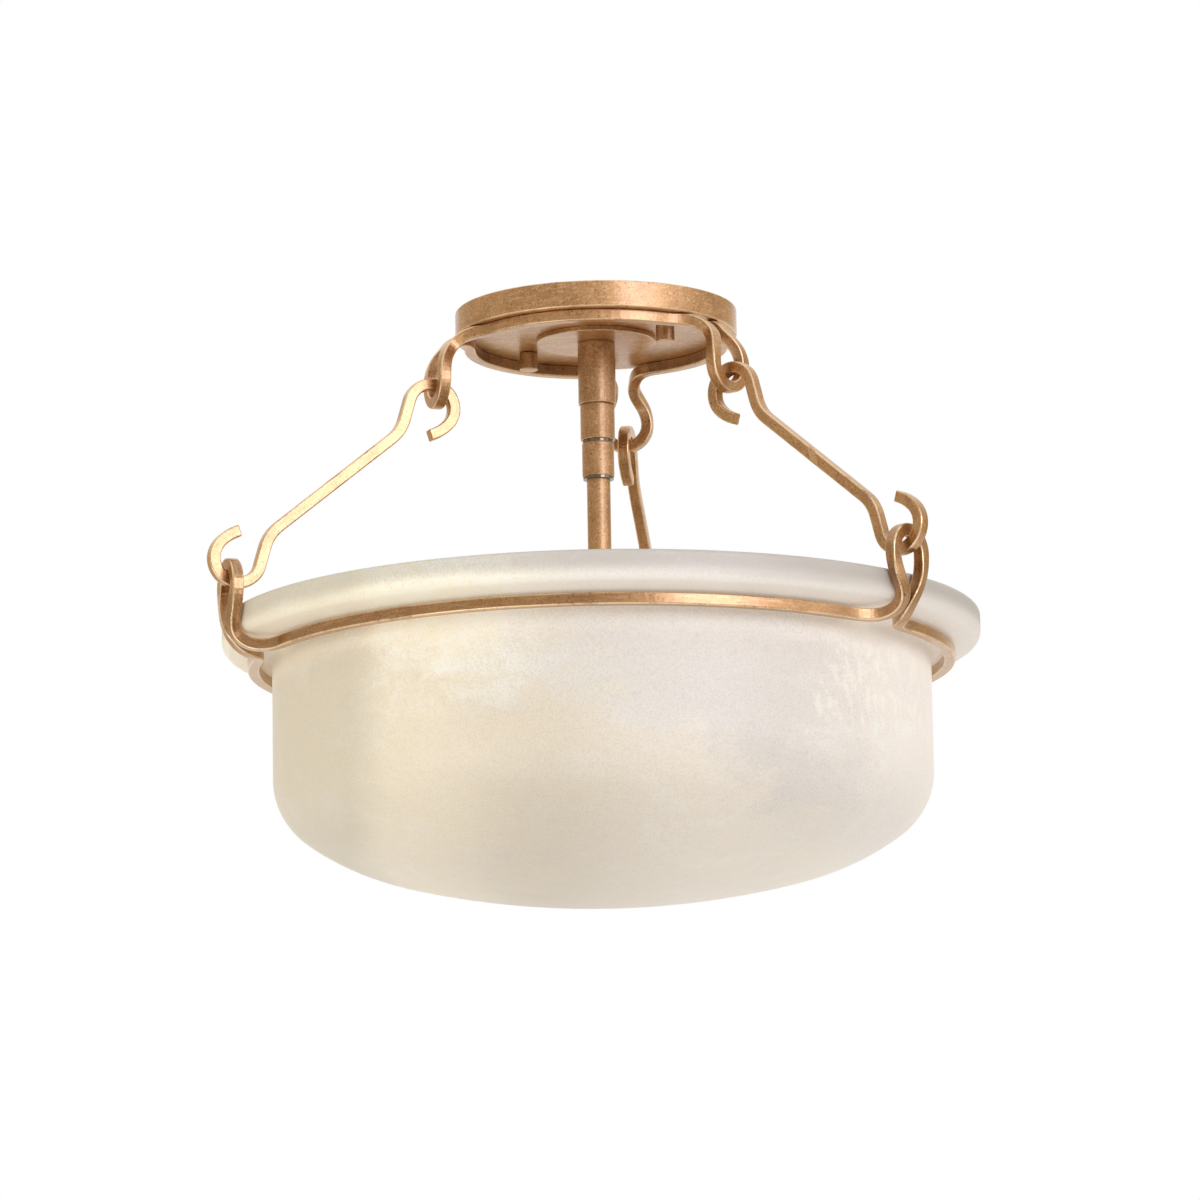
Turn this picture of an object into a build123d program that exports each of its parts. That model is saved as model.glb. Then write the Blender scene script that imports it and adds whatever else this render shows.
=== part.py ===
from build123d import *
from math import atan2, cos, degrees, radians, sin, sqrt, tan
import os

# Semi-flush ceiling light: a shallow canopy on the ceiling, a ring of square bar
# welded under it, three S-shaped arms of the same bar hooked into its loops, a
# second ring hooked on the arms, and an alabaster bowl resting in that ring.
# A stem in the middle carries three lamp sockets down into the bowl.
# Millimetres. z = 0 is the ceiling, +Z is up, the stem runs down the Z axis.

os.makedirs("parts", exist_ok=True)

# Fits
running_gap = 0.3
pin_gap = 0.05

# Square bar of the rings and arms
bar = 6.2
bar_edge = 0.9

# The three arms, seen from above, and the lamps between them
arm_count = 3
first_arm_angle = -40.0
arm_step = 360.0 / arm_count
first_lamp_angle = first_arm_angle + arm_step / 2

# Mounting straps
strap_thick = 1.9
strap_width = 19.0
strap_eyelet_radius = 8.0
strap_wire_hole_radius = 5.2
box_screw_spacing = 88.9
box_slot_length = 12.0
box_slot_width = 4.8
slot_end_metal = 5.55
stud_end_metal = 7.6
ground_screw_offset = 24.0
ground_screw_radius = 2.4
ground_head_radius = 4.2
ground_head_height = 2.2

# Studs and nuts that hold the canopy up
stud_radius = 2.085
stud_circle_radius = 48.4
stud_end_z = -21.4
locknut_flats = 8.7
locknut_height = 2.6
nut_radius = 5.0
nut_end_z = -24.0
nut_edge = 0.6

# Canopy pan and the disc in the middle of its face
pan_radius = 76.2
pan_depth = 14.3
pan_wall = 1.2
pan_edge = 1.0
disc_radius = 32.4
disc_thick = 2.7
disc_edge = 0.5

# Threaded nipple, its nut and washer, and the tube and collars of the stem
nipple_radius = 4.85
nipple_bore_radius = 3.6
nipple_top_z = -6.5
nipple_end_z = -34.0
lock_washer_radius = 9.5
lock_washer_thick = 1.0
stem_locknut_flats = 14.3
stem_locknut_height = 3.4
bushing_flange_radius = 6.0
bushing_flange_thick = 1.4
bushing_bore_radius = 2.8
bushing_depth = 3.0
tube_radius = 6.35
tube_end_z = -205.0
collar_upper_radius = 10.15
collar_upper_end_z = -51.0
collar_middle_radius = 9.3
collar_middle_end_z = -70.7
collar_lower_radius = 8.65
collar_lower_end_z = -91.0
collar_edge = 0.5
stem_washer_radius = 8.25
stem_washer_thick = 1.3

# Hanger ring under the canopy and its loops, set from the pan's rim
hanger_inset = 7.8
hanger_loop_reach = 14.8
hanger_loop_drop = 25.9
hanger_join_angle = 19.0
hanger_neck_inset = 8.7
hanger_neck_drop = 5.5
hanger_neck_half_width = 6.3

# Lower ring and its loops, set from the bowl's rim
bowl_ring_inset = 16.8
bowl_ring_z = -193.1
bowl_loop_gap = 0.7
bowl_loop_rise = 31.9
bowl_join_angle = 8.0
bowl_neck_inset = 3.6
bowl_neck_rise = 4.5
bowl_neck_half_width = 3.9

# Shape shared by the loops: the bar leaves the ring, passes the neck sloping out
# and in, and runs into the round end. The eases say how far each bend reaches.
loop_half_width = 12.0
neck_slope = 48.0
neck_closing = 12.0
ring_ease = 0.45
neck_ease = 0.34
round_ease = 0.5
face_hold = 0.5
flow_sections = 7

# Arms
hook_radius = 12.7
hook_seat_r = 3.7
hook_seat_z = 3.0
hook_turn = 209.0
shoulder_turn = 35.0
shoulder_radius = 22.0
curl_radius = 25.0
curl_turn = 27.5

# Bowl
rim_radius = 203.2
rim_rise = 22.9
bowl_wall = 5.0
corner_radius = 6.0
cove_radius = 5.0
flange_slope = 14.0
body_inset = 26.75
body_drop = 61.5
heel_radius = 38.1
heel_turn = 54.06
dish_radius = 130.6
dish_turn = 21.33

# Cluster that carries the sockets
cluster_radius = 20.0
cluster_wall = 1.5
cluster_top_z = -197.0
cluster_end_z = -219.0
cluster_locknut_flats = 17.5
cluster_locknut_height = 3.0
cover_thick = 1.5
cover_sleeve_height = 3.5

# Sockets and lamps, measured along each lamp's axis from the cluster wall
lamp_droop = 20.0
lamp_axis_z = -209.0
socket_nipple_start = -5.0
socket_nipple_end = 14.0
boss_radius = 8.0
boss_start = 3.3
socket_radius = 17.5
socket_start = 10.0
socket_end = 52.0
socket_well_start = 16.0
shell_radius = 14.0
shell_wall = 0.5
shell_end = 47.0
shell_floor = 0.6
cap_wall = 0.5
cap_end = 47.0
cap_shoulder_start = 23.5
cap_contact_end = 18.2
contact_radius = 4.8
glass_wall = 1.0
glass_start = 40.0
neck_end = 54.0
globe_radius = 30.0
globe_centre = 92.0
globe_tangent_turn = 42.0

# Values that follow from the ones above
pan_face_z = -pan_depth
pan_inside_z = -(pan_depth - pan_wall)
strap_face_z = -2 * strap_thick
box_strap_length = box_screw_spacing + box_slot_length + 2 * slot_end_metal
fixture_strap_length = 2 * (stud_circle_radius + stud_end_metal)
hanger_z = pan_face_z - bar / 2
hanger_radius = pan_radius - hanger_inset
hanger_loop_radius = pan_radius + hanger_loop_reach
hanger_loop_centre_z = hanger_z - hanger_loop_drop
bowl_ring_radius = rim_radius - bowl_ring_inset
bowl_loop_radius = rim_radius + bowl_loop_gap + bar / 2
bowl_loop_centre_z = bowl_ring_z + bowl_loop_rise
upper_hook_r = hanger_loop_radius + hook_seat_r
upper_hook_z = hanger_loop_centre_z - loop_half_width - hook_seat_z
lower_hook_r = bowl_loop_radius - hook_seat_r
lower_hook_z = bowl_loop_centre_z + loop_half_width + hook_seat_z
rim_top_z = bowl_ring_z + rim_rise
body_radius = rim_radius - body_inset
body_end_z = bowl_ring_z - body_drop
disc_face_z = pan_face_z - disc_thick
cap_radius = shell_radius - shell_wall - running_gap
contact_start = socket_well_start + shell_floor + running_gap
neck_radius = cap_radius - cap_wall
stud_plane = Plane.XY.rotated((0, 0, first_arm_angle))
lamp_way = (cos(radians(lamp_droop)), 0, -sin(radians(lamp_droop)))
lamp_start = Plane((cluster_radius, 0, lamp_axis_z), x_dir=(0, 1, 0), z_dir=lamp_way)


def bar_run(here, length):
    # A straight length of bar, and the plane at its far end.
    solid = extrude(here * RectangleRounded(bar, bar, bar_edge), length)
    return solid, here.offset(length)


def bar_bend(here, radius, turn, side):
    # The same bar bent by a turn in degrees towards one side of the plane it starts on.
    toward = here.x_dir * side[0] + here.y_dir * side[1]
    centre = here.origin + toward * radius
    pivot = Axis(centre, here.z_dir.cross(toward))
    turning = Axis((0, 0, 0), pivot.direction)
    solid = revolve(here * RectangleRounded(bar, bar, bar_edge), axis=pivot, revolution_arc=turn)
    origin = centre + (here.origin - centre).rotate(turning, turn)
    end = Plane(origin, x_dir=here.x_dir.rotate(turning, turn), z_dir=here.z_dir.rotate(turning, turn))
    return solid, end


def bar_flow(start, start_way, start_ease, end, end_way, end_ease):
    # A length of bar bent freely both sideways and down. Its upper face becomes the
    # outer one as the bar turns from level to upright.
    reach = (end - start).length
    start_handle = start + start_way * (reach * start_ease)
    end_handle = end - end_way * (reach * end_ease)
    route = Bezier(start, start_handle, end_handle, end)
    sections = []
    for step in range(flow_sections):
        place = step / (flow_sections - 1)
        way = route % place
        face = Vector(-way.Z, 0, abs(way.X) + face_hold)
        across = way.cross(face)
        here = Plane(route @ place, x_dir=across, z_dir=way)
        sections.append(here * RectangleRounded(bar, bar, bar_edge))
    return loft(sections)


def half_loop_ring(radius, z, join_angle, neck, loop_radius, loop_centre_z):
    # Half of one third of a ring, from the middle of a loop round to the middle of
    # the span between two loops. Local X points out through the loop.
    up = 1 if loop_centre_z > z else -1
    crown_z = loop_centre_z + up * loop_half_width
    crown = Plane((loop_radius, 0, crown_z), x_dir=(0, 0, -up), z_dir=(0, 1, 0))
    quarter, here = bar_bend(crown, loop_half_width, 90.0, (1, 0))
    slope = radians(neck_slope)
    closing = radians(neck_closing)
    neck_way = Vector(cos(slope) * cos(closing), -sin(closing), up * sin(slope) * cos(closing))
    side = bar_flow(neck, neck_way, neck_ease, here.origin, Vector(0, 0, up), round_ease)
    join = radians(join_angle)
    ring_end = Vector(radius * cos(join), radius * sin(join), z)
    ring_way = Vector(sin(join), -cos(join), 0)
    foot = bar_flow(ring_end, ring_way, ring_ease, neck, neck_way, neck_ease)
    here = Plane(ring_end, x_dir=(-cos(join), -sin(join), 0), z_dir=(-sin(join), cos(join), 0))
    arc, here = bar_bend(here, radius, arm_step / 2 - join_angle, (1, 0))
    return Part() + [quarter, side, foot, arc]


def about_stem(shape, angle):
    # A shape swung round the stem.
    return Location((0, 0, 0), (0, 0, angle)) * shape


def save(part, name):
    part.label = name
    export_step(part, "parts/" + name + ".step")


# Box strap: the upper plate, screwed to the ceiling box through its two slots.
with BuildPart() as box_strap:
    with BuildSketch(Plane.XY.offset(-strap_thick)):
        SlotOverall(box_strap_length, strap_width)
        Circle(strap_eyelet_radius, mode=Mode.SUBTRACT)
        with Locations((box_screw_spacing / 2, 0), (-box_screw_spacing / 2, 0)):
            SlotOverall(box_slot_length, box_slot_width, mode=Mode.SUBTRACT)
    extrude(amount=strap_thick)
save(box_strap.part, "box_strap")

# Fixture strap: the lower plate, its eyelet turned up through the box strap so the
# two can swivel. It carries the studs and the ground screw.
with BuildPart() as fixture_strap:
    with BuildSketch(stud_plane.offset(strap_face_z)):
        SlotOverall(fixture_strap_length, strap_width)
        Circle(strap_wire_hole_radius, mode=Mode.SUBTRACT)
        with Locations((stud_circle_radius, 0), (-stud_circle_radius, 0)):
            Circle(stud_radius, mode=Mode.SUBTRACT)
        with Locations((ground_screw_offset, 0)):
            Circle(ground_screw_radius, mode=Mode.SUBTRACT)
    extrude(amount=strap_thick)
    with BuildSketch(Plane.XY.offset(-strap_thick)):
        Circle(strap_eyelet_radius)
        Circle(strap_wire_hole_radius, mode=Mode.SUBTRACT)
    extrude(amount=strap_thick)
save(fixture_strap.part, "fixture_strap")

# Ground screw, its slotted head under the fixture strap.
with BuildPart() as ground_screw:
    with BuildSketch(stud_plane.offset(strap_face_z)):
        with Locations((ground_screw_offset, 0)):
            Circle(ground_screw_radius)
    extrude(amount=strap_thick)
    with BuildSketch(stud_plane.offset(strap_face_z - ground_head_height)):
        with Locations((ground_screw_offset, 0)):
            Circle(ground_head_radius)
    extrude(amount=ground_head_height)
    with BuildSketch(stud_plane.offset(strap_face_z - ground_head_height)):
        with Locations((ground_screw_offset, 0)):
            Rectangle(2 * ground_head_radius, ground_head_height / 2)
    extrude(amount=ground_head_height / 2, mode=Mode.SUBTRACT)
save(ground_screw.part, "ground_screw")

# Two studs screwed into the fixture strap, passing down through the canopy.
with BuildPart() as canopy_studs:
    with BuildSketch(stud_plane.offset(stud_end_z)):
        with Locations((stud_circle_radius, 0), (-stud_circle_radius, 0)):
            Circle(stud_radius)
    extrude(amount=-strap_thick - stud_end_z)
save(canopy_studs.part, "canopy_studs")

# Hexagon nuts that lock the studs against the fixture strap.
with BuildPart() as stud_locknuts:
    with BuildSketch(stud_plane.offset(strap_face_z - locknut_height)):
        with Locations((stud_circle_radius, 0), (-stud_circle_radius, 0)):
            RegularPolygon(locknut_flats / 2, 6, major_radius=False)
            Circle(stud_radius, mode=Mode.SUBTRACT)
    extrude(amount=locknut_height)
save(stud_locknuts.part, "stud_locknuts")

# Canopy pan: a spun steel pan, open at the ceiling, with a hole for the nipple and
# two for the studs.
with BuildPart() as canopy_pan:
    with BuildSketch(Plane.XY.offset(pan_face_z)):
        Circle(pan_radius)
    extrude(amount=pan_depth)
    fillet(canopy_pan.edges().group_by(Axis.Z)[0], radius=pan_edge)
    with BuildSketch(Plane.XY.offset(pan_inside_z)):
        Circle(pan_radius - pan_wall)
    extrude(amount=-pan_inside_z, mode=Mode.SUBTRACT)
    with BuildSketch(stud_plane.offset(pan_face_z)):
        Circle(nipple_radius)
        with Locations((stud_circle_radius, 0), (-stud_circle_radius, 0)):
            Circle(stud_radius + running_gap)
    extrude(amount=pan_wall, mode=Mode.SUBTRACT)
save(canopy_pan.part, "canopy_pan")

# Hanger ring: one square bar bent round under the canopy and welded to its face,
# with three loops pulled out past the rim and turned down.
hanger_neck_r = hanger_loop_radius - hanger_neck_inset
hanger_neck = Vector(hanger_neck_r, hanger_neck_half_width, hanger_z - hanger_neck_drop)
hanger_half = half_loop_ring(
    hanger_radius, hanger_z, hanger_join_angle, hanger_neck, hanger_loop_radius, hanger_loop_centre_z
)
hanger_third = hanger_half + mirror(hanger_half, about=Plane.XZ)
with BuildPart() as hanger_ring:
    with PolarLocations(0, arm_count, start_angle=first_arm_angle):
        add(hanger_third)
save(hanger_ring.part, "hanger_ring")

# Disc plate clamped between the canopy face and the stem.
with BuildPart() as canopy_disc:
    with BuildSketch(Plane.XY.offset(disc_face_z)):
        Circle(disc_radius)
    extrude(amount=disc_thick)
    fillet(canopy_disc.edges().group_by(Axis.Z)[0], radius=disc_edge)
    with BuildSketch(Plane.XY.offset(disc_face_z)):
        Circle(nipple_radius)
    extrude(amount=disc_thick, mode=Mode.SUBTRACT)
save(canopy_disc.part, "canopy_disc")

# Threaded nipple that ties the stem to the canopy.
with BuildPart() as stem_nipple:
    with BuildSketch(Plane.XY.offset(nipple_end_z)):
        Circle(nipple_radius)
        Circle(nipple_bore_radius, mode=Mode.SUBTRACT)
    extrude(amount=nipple_top_z - nipple_end_z)
save(stem_nipple.part, "stem_nipple")

# Lock washer and hexagon nut on the nipple, inside the canopy.
with BuildPart() as stem_lock_washer:
    with BuildSketch(Plane.XY.offset(pan_inside_z)):
        Circle(lock_washer_radius)
        Circle(nipple_radius, mode=Mode.SUBTRACT)
    extrude(amount=lock_washer_thick)
save(stem_lock_washer.part, "stem_lock_washer")

with BuildPart() as stem_locknut:
    with BuildSketch(Plane.XY.offset(pan_inside_z + lock_washer_thick)):
        RegularPolygon(stem_locknut_flats / 2, 6, major_radius=False)
        Circle(nipple_radius, mode=Mode.SUBTRACT)
    extrude(amount=stem_locknut_height)
save(stem_locknut.part, "stem_locknut")

# Plastic bushing that keeps the nipple's rim off the wires.
with BuildPart() as wire_bushing:
    with BuildSketch(Plane.XY.offset(nipple_top_z)):
        Circle(bushing_flange_radius)
        Circle(bushing_bore_radius, mode=Mode.SUBTRACT)
    extrude(amount=bushing_flange_thick)
    with BuildSketch(Plane.XY.offset(nipple_top_z - bushing_depth)):
        Circle(nipple_bore_radius)
        Circle(bushing_bore_radius, mode=Mode.SUBTRACT)
    extrude(amount=bushing_depth)
save(wire_bushing.part, "wire_bushing")

# Stem tube, screwed on the nipple at the top and down into the cluster.
with BuildPart() as stem_tube:
    with BuildSketch(Plane.XY.offset(tube_end_z)):
        Circle(tube_radius)
        Circle(nipple_radius, mode=Mode.SUBTRACT)
    extrude(amount=disc_face_z - tube_end_z)
save(stem_tube.part, "stem_tube")

# Three turned collars of falling width on the upper part of the stem.
with BuildPart() as stem_collar_upper:
    with BuildSketch(Plane.XY.offset(collar_upper_end_z)):
        Circle(collar_upper_radius)
    extrude(amount=disc_face_z - collar_upper_end_z)
    chamfer(stem_collar_upper.edges().group_by(Axis.Z)[0], length=collar_edge)
    with BuildSketch(Plane.XY.offset(collar_upper_end_z)):
        Circle(tube_radius)
    extrude(amount=disc_face_z - collar_upper_end_z, mode=Mode.SUBTRACT)
save(stem_collar_upper.part, "stem_collar_upper")

with BuildPart() as stem_collar_middle:
    with BuildSketch(Plane.XY.offset(collar_middle_end_z)):
        Circle(collar_middle_radius)
    extrude(amount=collar_upper_end_z - collar_middle_end_z)
    chamfer(stem_collar_middle.edges().group_by(Axis.Z)[0], length=collar_edge)
    with BuildSketch(Plane.XY.offset(collar_middle_end_z)):
        Circle(tube_radius)
    extrude(amount=collar_upper_end_z - collar_middle_end_z, mode=Mode.SUBTRACT)
save(stem_collar_middle.part, "stem_collar_middle")

with BuildPart() as stem_collar_lower:
    with BuildSketch(Plane.XY.offset(collar_lower_end_z)):
        Circle(collar_lower_radius)
    extrude(amount=collar_middle_end_z - stem_washer_thick - collar_lower_end_z)
    chamfer(stem_collar_lower.edges().group_by(Axis.Z)[0], length=collar_edge)
    chamfer(stem_collar_lower.edges().group_by(Axis.Z)[-1], length=collar_edge)
    with BuildSketch(Plane.XY.offset(collar_lower_end_z)):
        Circle(tube_radius)
    extrude(amount=collar_middle_end_z - stem_washer_thick - collar_lower_end_z, mode=Mode.SUBTRACT)
save(stem_collar_lower.part, "stem_collar_lower")

# Two bright washers, above and below the lower collar.
with BuildPart() as stem_washers:
    with BuildSketch(Plane.XY.offset(collar_middle_end_z - stem_washer_thick)):
        Circle(stem_washer_radius)
        Circle(tube_radius, mode=Mode.SUBTRACT)
    extrude(amount=stem_washer_thick)
    with BuildSketch(Plane.XY.offset(collar_lower_end_z - stem_washer_thick)):
        Circle(stem_washer_radius)
        Circle(tube_radius, mode=Mode.SUBTRACT)
    extrude(amount=stem_washer_thick)
save(stem_washers.part, "stem_washers")

# Cluster body: a cup hung on the tube's end, open below, with one drooping hole for
# each socket.
with BuildPart() as cluster_body:
    with BuildSketch(Plane.XY.offset(cluster_end_z)):
        Circle(cluster_radius)
    extrude(amount=cluster_top_z - cluster_end_z)
    fillet(cluster_body.edges().group_by(Axis.Z)[-1], radius=cluster_wall)
    with BuildSketch(Plane.XY.offset(cluster_end_z)):
        Circle(cluster_radius - cluster_wall)
    extrude(amount=cluster_top_z - cluster_end_z - cluster_wall, mode=Mode.SUBTRACT)
    with BuildSketch(Plane.XY.offset(cluster_top_z - cluster_wall)):
        Circle(tube_radius)
    extrude(amount=cluster_wall, mode=Mode.SUBTRACT)
    with PolarLocations(0, arm_count, start_angle=first_lamp_angle):
        with Locations(lamp_start.offset(socket_nipple_start).location):
            Cylinder(
                nipple_radius,
                socket_start - socket_nipple_start,
                align=(Align.CENTER, Align.CENTER, Align.MIN),
                mode=Mode.SUBTRACT,
            )
save(cluster_body.part, "cluster_body")

# Hexagon nut that holds the cluster body on the tube.
with BuildPart() as cluster_locknut:
    with BuildSketch(Plane.XY.offset(cluster_top_z - cluster_wall - cluster_locknut_height)):
        RegularPolygon(cluster_locknut_flats / 2, 6, major_radius=False)
        Circle(tube_radius, mode=Mode.SUBTRACT)
    extrude(amount=cluster_locknut_height)
save(cluster_locknut.part, "cluster_locknut")

# Lid pressed into the open end of the cluster body.
with BuildPart() as cluster_cover:
    with BuildSketch(Plane.XY.offset(cluster_end_z - cover_thick)):
        Circle(cluster_radius)
    extrude(amount=cover_thick)
    with BuildSketch(Plane.XY.offset(cluster_end_z)):
        Circle(cluster_radius - cluster_wall)
        Circle(cluster_radius - 2 * cluster_wall, mode=Mode.SUBTRACT)
    extrude(amount=cover_sleeve_height)
save(cluster_cover.part, "cluster_cover")

# Three short threaded nipples that carry the sockets.
with BuildPart() as socket_nipples:
    with PolarLocations(0, arm_count, start_angle=first_lamp_angle):
        with Locations(lamp_start.offset(socket_nipple_start).location):
            Cylinder(
                nipple_radius,
                socket_nipple_end - socket_nipple_start,
                align=(Align.CENTER, Align.CENTER, Align.MIN),
            )
            Cylinder(
                nipple_bore_radius,
                socket_nipple_end - socket_nipple_start,
                align=(Align.CENTER, Align.CENTER, Align.MIN),
                mode=Mode.SUBTRACT,
            )
save(socket_nipples.part, "socket_nipples")

# Lamp socket: a moulded cup with a boss at its back, screwed on a nipple.
with BuildPart() as lamp_socket:
    with BuildSketch(Plane.XZ):
        with BuildLine():
            Polyline(
                (nipple_radius, boss_start),
                (boss_radius, boss_start),
                (boss_radius, socket_start),
                (socket_radius, socket_start),
                (socket_radius, socket_end),
                (shell_radius, socket_end),
                (shell_radius, socket_well_start),
                (nipple_radius, socket_well_start),
                close=True,
            )
        make_face()
    revolve(axis=Axis.Z)

# Screw shell: the threaded metal liner of the socket, closed at the back.
with BuildPart() as screw_shell:
    with BuildSketch(Plane.XY.offset(socket_well_start)):
        Circle(shell_radius)
    extrude(amount=shell_end - socket_well_start)
    with BuildSketch(Plane.XY.offset(socket_well_start + shell_floor)):
        Circle(shell_radius - shell_wall)
    extrude(amount=shell_end - socket_well_start - shell_floor, mode=Mode.SUBTRACT)

# Bulb base: the screw cap with its cone and end contact.
with BuildPart() as bulb_base:
    with BuildSketch(Plane.XZ):
        with BuildLine():
            Polyline(
                (0, contact_start),
                (contact_radius, contact_start),
                (contact_radius, cap_contact_end),
                (cap_radius, cap_shoulder_start),
                (cap_radius, cap_end),
                (cap_radius - cap_wall, cap_end),
                (cap_radius - cap_wall, cap_shoulder_start + cap_wall),
                (0, cap_shoulder_start + cap_wall),
                close=True,
            )
        make_face()
    revolve(axis=Axis.Z)

# Bulb glass: a thin blown globe on a neck that is cemented into the base.
with BuildPart() as bulb_glass:
    with BuildSketch(Plane.XZ):
        with BuildLine():
            for inset in (0, glass_wall):
                globe = CenterArc(
                    (0, globe_centre), globe_radius - inset, -globe_tangent_turn, 90 + globe_tangent_turn
                )
                Polyline(globe @ 0, (neck_radius - inset, neck_end), (neck_radius - inset, glass_start))
            Line((neck_radius, glass_start), (neck_radius - glass_wall, glass_start))
            Line(globe @ 1, globe @ 1 + (0, glass_wall))
        make_face()
    revolve(axis=Axis.Z)

for lamp in range(arm_count):
    place = Location((0, 0, 0), (0, 0, first_lamp_angle + arm_step * lamp)) * lamp_start.location
    save(place * lamp_socket.part, f"lamp_socket_{lamp + 1}")
    save(place * screw_shell.part, f"screw_shell_{lamp + 1}")
    save(place * bulb_base.part, f"bulb_base_{lamp + 1}")
    save(place * bulb_glass.part, f"bulb_glass_{lamp + 1}")

# Canopy nuts: plain turned nuts, closed at the bottom, run up the studs by hand.
with BuildPart() as canopy_nut:
    with BuildSketch(Plane.XY.offset(nut_end_z)):
        Circle(nut_radius)
    extrude(amount=pan_face_z - running_gap - nut_end_z)
    fillet(canopy_nut.edges().group_by(Axis.Z)[0], radius=nut_edge)
    with BuildSketch(Plane.XY.offset(stud_end_z - running_gap)):
        Circle(stud_radius + pin_gap)
    extrude(amount=pan_face_z - stud_end_z, mode=Mode.SUBTRACT)

save(stud_plane.location * Location((stud_circle_radius, 0, 0)) * canopy_nut.part, "canopy_nut_1")
save(stud_plane.location * Location((-stud_circle_radius, 0, 0)) * canopy_nut.part, "canopy_nut_2")

# Bowl ring: one square bar bent round, with three loops pulled out and turned up.
bowl_neck_r = bowl_loop_radius - bowl_neck_inset
bowl_neck = Vector(bowl_neck_r, bowl_neck_half_width, bowl_ring_z + bowl_neck_rise)
bowl_ring_half = half_loop_ring(
    bowl_ring_radius, bowl_ring_z, bowl_join_angle, bowl_neck, bowl_loop_radius, bowl_loop_centre_z
)
bowl_ring_third = bowl_ring_half + mirror(bowl_ring_half, about=Plane.XZ)
with BuildPart() as bowl_ring:
    with PolarLocations(0, arm_count, start_angle=first_arm_angle):
        add(bowl_ring_third)
save(bowl_ring.part, "bowl_ring")

# Arm: the same bar bent to an S, a hook at each end, laid out from its middle.
# The two halves are the same shape turned half round.
run_slope = degrees(atan2(lower_hook_z - upper_hook_z, lower_hook_r - upper_hook_r))
hook_span = sqrt((lower_hook_r - upper_hook_r) ** 2 + (lower_hook_z - upper_hook_z) ** 2)
shoulder = radians(shoulder_turn)
leg_length = (hook_radius * cos(shoulder) - shoulder_radius * (1 - cos(shoulder))) / sin(shoulder)
hook_reach = hook_radius * sin(shoulder) + leg_length * cos(shoulder) + shoulder_radius * sin(shoulder)
middle = Plane(
    ((upper_hook_r + lower_hook_r) / 2, 0, (upper_hook_z + lower_hook_z) / 2),
    x_dir=(0, 1, 0),
    z_dir=(-cos(radians(run_slope)), 0, -sin(radians(run_slope))),
)
over = (0, 1 if middle.y_dir.Z > 0 else -1)
under = (0, -over[1])
straight, here = bar_run(middle, hook_span / 2 - hook_reach)
bend_up, here = bar_bend(here, shoulder_radius, shoulder_turn, over)
leg, here = bar_run(here, leg_length)
hook, here = bar_bend(here, hook_radius, hook_turn, under)
curl, here = bar_bend(here, curl_radius, curl_turn, under)
arm_half = Part() + [straight, bend_up, leg, hook, curl]
half_turn = Axis(middle.origin, (0, 1, 0))
arm_shape = arm_half + arm_half.rotate(half_turn, 180)
for n in range(arm_count):
    save(about_stem(arm_shape, first_arm_angle + arm_step * n), f"arm_{n + 1}")

# Bowl: carved stone, one wall thickness throughout, with a flange that rests in the
# ring and an upright lip. The wall's two sides are the same curves set apart.
slope = radians(flange_slope)
seat_r = bowl_ring_radius - bar / 2 + bar_edge - sin(slope) * (bar_edge + running_gap)
seat_z = bowl_ring_z + bar / 2 - bar_edge + cos(slope) * (bar_edge + running_gap)
half_bend = radians(90 - flange_slope) / 2
corner_z = seat_z + (rim_radius - seat_r) * tan(slope) + corner_radius * tan(half_bend)
cove_z = seat_z - (seat_r - body_radius) * tan(slope) - cove_radius * tan(half_bend)
heel_centre = Vector(body_radius - heel_radius, body_end_z)
heel_end = Vector(cos(radians(heel_turn)), -sin(radians(heel_turn)))
dish_centre = heel_centre + heel_end * (heel_radius - dish_radius)
dish_end_turn = heel_turn + dish_turn
dish_end = Vector(cos(radians(dish_end_turn)), -sin(radians(dish_end_turn)))
base_radius = dish_radius + dish_centre.X / dish_end.X
base_centre = dish_centre + dish_end * (dish_radius - base_radius)
with BuildPart() as bowl:
    with BuildSketch(Plane.XZ):
        with BuildLine():
            for inset in (0, bowl_wall):
                corner = CenterArc(
                    (rim_radius - corner_radius, corner_z), corner_radius - inset, 0, -(90 - flange_slope)
                )
                cove = CenterArc(
                    (body_radius + cove_radius, cove_z),
                    cove_radius + inset,
                    90 + flange_slope,
                    90 - flange_slope,
                )
                heel = CenterArc(heel_centre, heel_radius - inset, 0, -heel_turn)
                CenterArc(dish_centre, dish_radius - inset, -heel_turn, -dish_turn)
                base = CenterArc(base_centre, base_radius - inset, -dish_end_turn, dish_end_turn - 90)
                Line((rim_radius - inset, rim_top_z - bowl_wall / 2), corner @ 0)
                Line(corner @ 1, cove @ 0)
                Line(cove @ 1, heel @ 0)
            CenterArc((rim_radius - bowl_wall / 2, rim_top_z - bowl_wall / 2), bowl_wall / 2, 0, 180)
            Line(base @ 1, base @ 1 - (0, bowl_wall))
        make_face()
    revolve(axis=Axis.Z)
save(bowl.part, "bowl")
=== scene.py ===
from math import cos, pi, radians, sin

import bmesh
import bpy
from mathutils import Matrix, Vector


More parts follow.
